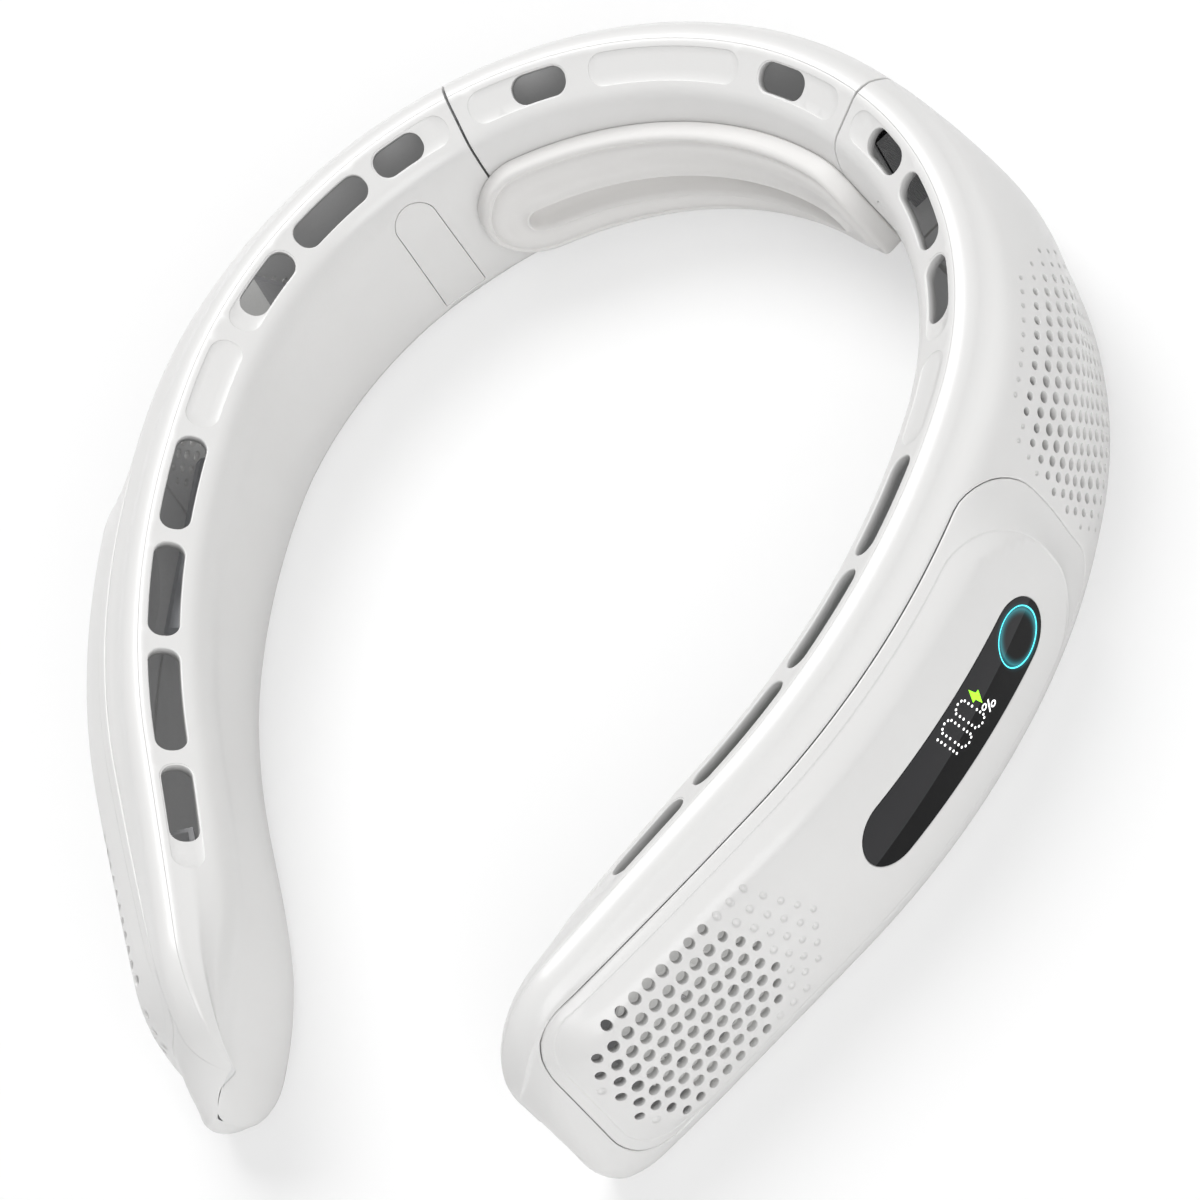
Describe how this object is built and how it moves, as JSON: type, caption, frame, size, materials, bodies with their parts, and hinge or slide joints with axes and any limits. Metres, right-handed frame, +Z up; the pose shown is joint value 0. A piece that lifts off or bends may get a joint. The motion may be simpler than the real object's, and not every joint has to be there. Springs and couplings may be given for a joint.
{
  "type": "neck fan",
  "caption": "Bladeless fan worn round the neck: U-shaped housing with an air strip on top, blowers in both arms, splaying arm hinges, a display and a round power button.",
  "frame": {"origin": "on the table, under the middle of the part's box", "axes": "+Z up as it lies on a table or round a neck, +Y towards the back of the neck, +X the wearer's left arm with the display; the tips point to -Y"},
  "size_m": [0.2006, 0.2278, 0.0456],
  "materials": {
    "shell": "white satin moulded plastic",
    "pad": "matte white silicone",
    "window": "polished black",
    "ring": "translucent, lit from behind",
    "board": "coated circuit board",
    "inner_plastic": "moulded",
    "steel": "stamped or turned",
    "cell": "foil pouch"
  },
  "bodies": {
    "back": {"back_outer_shell": "shell", "back_inner_shell": "shell", "neck_pad": "pad", "left_hinge_leaf_back": "steel", "left_hinge_pin": "steel", "right_hinge_leaf_back": "steel", "right_hinge_pin": "steel"},
    "left_arm": {"left_outer_shell": "shell", "left_inner_shell": "shell", "left_side_cover": "shell", "left_hinge_cover": "shell", "left_hinge_leaf_arm": "steel", "left_lower_volute": "inner_plastic", "left_lower_inlet_plate": "inner_plastic", "left_lower_motor": "steel", "left_upper_volute": "inner_plastic", "left_upper_inlet_plate": "inner_plastic", "left_upper_motor": "steel", "left_battery": "cell", "main_board": "board", "charging_inlet": "steel", "display_window": "window", "light_ring": "ring", "display_board": "board", "button_switch": "inner_plastic"},
    "right_arm": {"right_outer_shell": "shell", "right_inner_shell": "shell", "right_side_cover": "shell", "right_hinge_cover": "shell", "right_hinge_leaf_arm": "steel", "right_lower_volute": "inner_plastic", "right_lower_inlet_plate": "inner_plastic", "right_lower_motor": "steel", "right_upper_volute": "inner_plastic", "right_upper_inlet_plate": "inner_plastic", "right_upper_motor": "steel", "right_battery": "cell"},
    "left_lower_wheel": {"left_lower_impeller": "inner_plastic"},
    "left_upper_wheel": {"left_upper_impeller": "inner_plastic"},
    "right_lower_wheel": {"right_lower_impeller": "inner_plastic"},
    "right_upper_wheel": {"right_upper_impeller": "inner_plastic"},
    "button": {"power_button": "window"}
  },
  "joints": [
    {"name": "left_arm_hinge", "type": "hinge", "parent": "back", "child": "left_arm", "pos_m": [0.04826, 0.09798, 0.022], "axis": [0, 0, 1], "range_deg": [0, 6]},
    {"name": "right_arm_hinge", "type": "hinge", "parent": "back", "child": "right_arm", "pos_m": [-0.04826, 0.09798, 0.022], "axis": [0, 0, -1], "range_deg": [0, 6]},
    {"name": "left_lower_spin", "type": "hinge", "parent": "left_arm", "child": "left_lower_wheel", "pos_m": [0.04766, -0.08263, 0.02012], "axis": [0.8407, -0.466, 0.2756], "continuous": true},
    {"name": "left_upper_spin", "type": "hinge", "parent": "left_arm", "child": "left_upper_wheel", "pos_m": [0.07912, 0.0406, 0.01821], "axis": [0.975, 0.1734, 0.1392], "continuous": true},
    {"name": "right_lower_spin", "type": "hinge", "parent": "right_arm", "child": "right_lower_wheel", "pos_m": [-0.04766, -0.08263, 0.02012], "axis": [-0.8407, -0.466, 0.2756], "continuous": true},
    {"name": "right_upper_spin", "type": "hinge", "parent": "right_arm", "child": "right_upper_wheel", "pos_m": [-0.07912, 0.0406, 0.01821], "axis": [-0.975, 0.1734, 0.1392], "continuous": true},
    {"name": "power_button_press", "type": "slide", "parent": "left_arm", "child": "button", "axis": [-0.9427, 0.1881, -0.2756], "range_m": [0, 0.0004], "stiffness_N_per_m": 2500, "springref_m": -0.0002}
  ]
}
